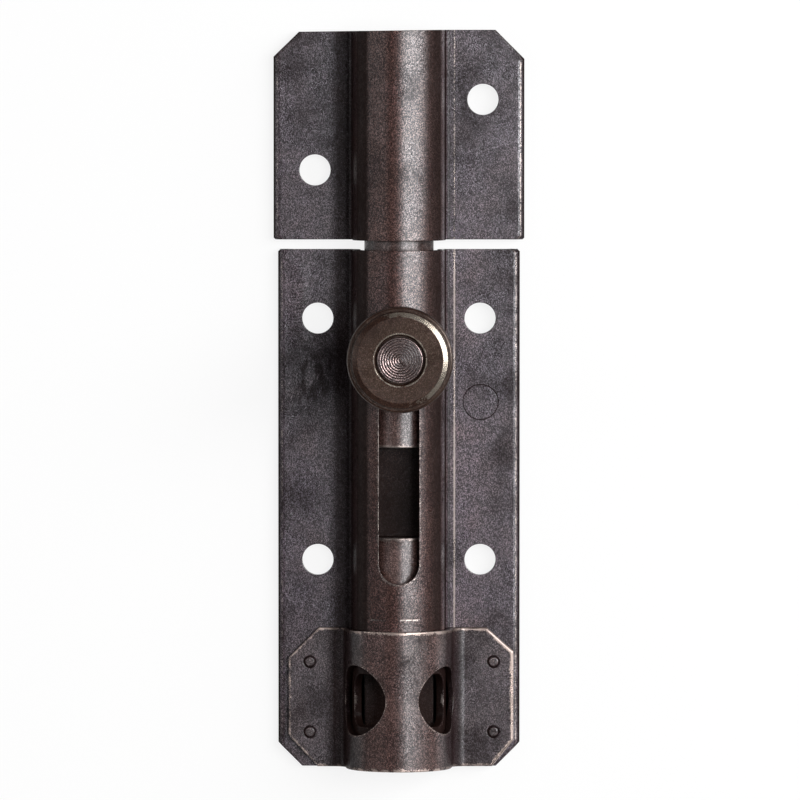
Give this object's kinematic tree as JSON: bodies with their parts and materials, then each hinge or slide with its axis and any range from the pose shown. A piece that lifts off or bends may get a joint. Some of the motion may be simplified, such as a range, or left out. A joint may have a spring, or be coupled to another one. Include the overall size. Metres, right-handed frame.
{
  "type": "slide bolt",
  "caption": "Slide bolt for a door: a knob draws a round bolt along a pressed steel barrel and out of its keeper, and a riveted cover with side holes takes a padlock.",
  "frame": {"origin": "in the door's face, at the middle of the four screws of the body", "axes": "+Z out of the door, +Y along the bolt towards the keeper, +X across"},
  "size_m": [0.0362, 0.1067, 0.0221],
  "materials": {
    "plate_steel": "burnished bronze-black plating, worn coppery along its edges",
    "cover_steel": "burnished bronze-black plating, worn bright over the arch",
    "rivet_steel": "burnished bronze-black plating",
    "bolt_steel": "coppery brown plating, rubbed along the bolt",
    "knob_steel": "burnished bronze plating on turned steel",
    "pin_steel": "lathe-turned steel, thinly plated"
  },
  "bodies": {
    "barrel": {"body_plate": "plate_steel", "padlock_cover": "cover_steel", "cover_rivets": "rivet_steel", "keeper": "plate_steel"},
    "bolt": {"bolt_rod": "bolt_steel", "knob": "knob_steel", "knob_pin": "pin_steel"}
  },
  "joints": [
    {"name": "bolt_slide", "type": "slide", "parent": "barrel", "child": "bolt", "axis": [0, -1, 0], "range_m": [0, 0.03]}
  ]
}
